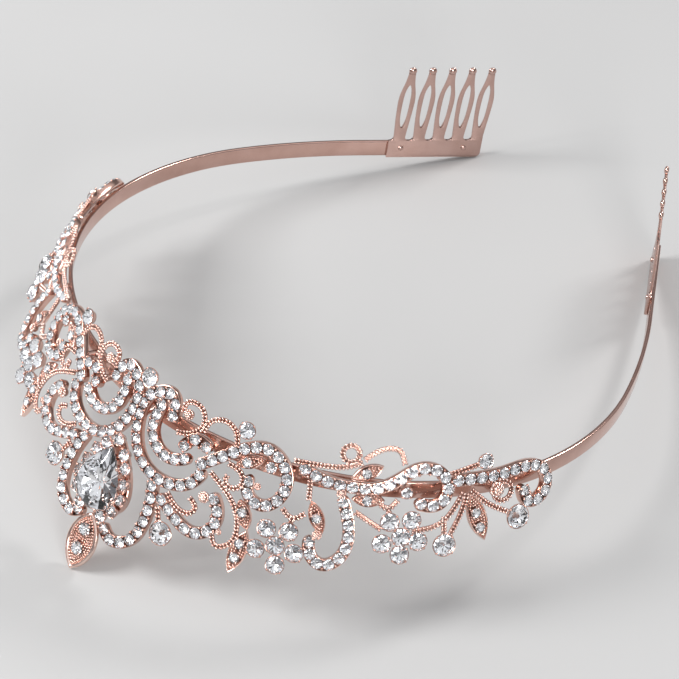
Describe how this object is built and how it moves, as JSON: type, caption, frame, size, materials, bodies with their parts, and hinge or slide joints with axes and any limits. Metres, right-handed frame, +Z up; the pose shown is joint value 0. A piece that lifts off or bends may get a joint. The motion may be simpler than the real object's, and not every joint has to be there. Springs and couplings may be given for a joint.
{
  "type": "bridal tiara",
  "caption": "Rose-gold bridal tiara: a bent band with two hair combs and a leaning front of scrolls, leaves, flowers and a pear crystal.",
  "frame": {"origin": "on the ground under the middle of the bounding box; the tiara stands on its band's two ends and on the tip of its centre leaf", "axes": "+Z up, along the way the comb teeth point; -Y towards the decorated front; +X to the right when the front is seen from outside"},
  "size_m": [0.153, 0.1808, 0.0442],
  "materials": {
    "band_metal": "polished rose-gold plate",
    "comb_metal": "polished rose-gold plate",
    "casting_metal": "polished rose-gold plate, beaded edges",
    "wire_metal": "polished rose-gold plate, beaded",
    "crystal": "clear, foil-backed, faceted",
    "pear_crystal": "clear, foil-backed, faceted"
  },
  "bodies": {
    "root": {"beaded_wires_left": "wire_metal", "beaded_wires_right": "wire_metal", "centre_crown_crystal": "crystal", "centre_crown_cup": "casting_metal", "centre_leaf": "casting_metal", "centre_leaf_crystals": "crystal", "comb_left": "comb_metal", "comb_right": "comb_metal", "crown_crystals_left": "crystal", "crown_crystals_right": "crystal", "crown_cups_left": "casting_metal", "crown_cups_right": "casting_metal", "drop_crystals_left": "crystal", "drop_crystals_right": "crystal", "drop_cups_left": "casting_metal", "drop_cups_right": "casting_metal", "end_scroll_crystals_left": "crystal", "end_scroll_crystals_right": "crystal", "end_scroll_left": "casting_metal", "end_scroll_right": "casting_metal", "flower_crystals_left": "crystal", "flower_crystals_right": "crystal", "flower_cups_left": "casting_metal", "flower_cups_right": "casting_metal", "garland_crystals_left": "crystal", "garland_crystals_right": "crystal", "garland_left": "casting_metal", "garland_right": "casting_metal", "halo_crystals": "crystal", "headband": "band_metal", "hook_scroll_crystals_left": "crystal", "hook_scroll_crystals_right": "crystal", "hook_scroll_left": "casting_metal", "hook_scroll_right": "casting_metal", "inner_scroll_crystals_left": "crystal", "inner_scroll_crystals_right": "crystal", "inner_scroll_left": "casting_metal", "inner_scroll_right": "casting_metal", "leaf_crystals_left": "crystal", "leaf_crystals_right": "crystal", "leaf_scroll_crystals_left": "crystal", "leaf_scroll_crystals_right": "crystal", "leaf_scroll_left": "casting_metal", "leaf_scroll_right": "casting_metal", "leaves_left": "casting_metal", "leaves_right": "casting_metal", "lower_loop_crystals_left": "crystal", "lower_loop_crystals_right": "crystal", "lower_loop_left": "casting_metal", "lower_loop_right": "casting_metal", "outer_scroll_crystals_left": "crystal", "outer_scroll_crystals_right": "crystal", "outer_scroll_left": "casting_metal", "outer_scroll_right": "casting_metal", "pear_crystal": "pear_crystal", "pear_setting": "casting_metal", "solder_tabs_left": "band_metal", "solder_tabs_right": "band_metal", "weld_nubs": "comb_metal"}
  },
  "joints": []
}
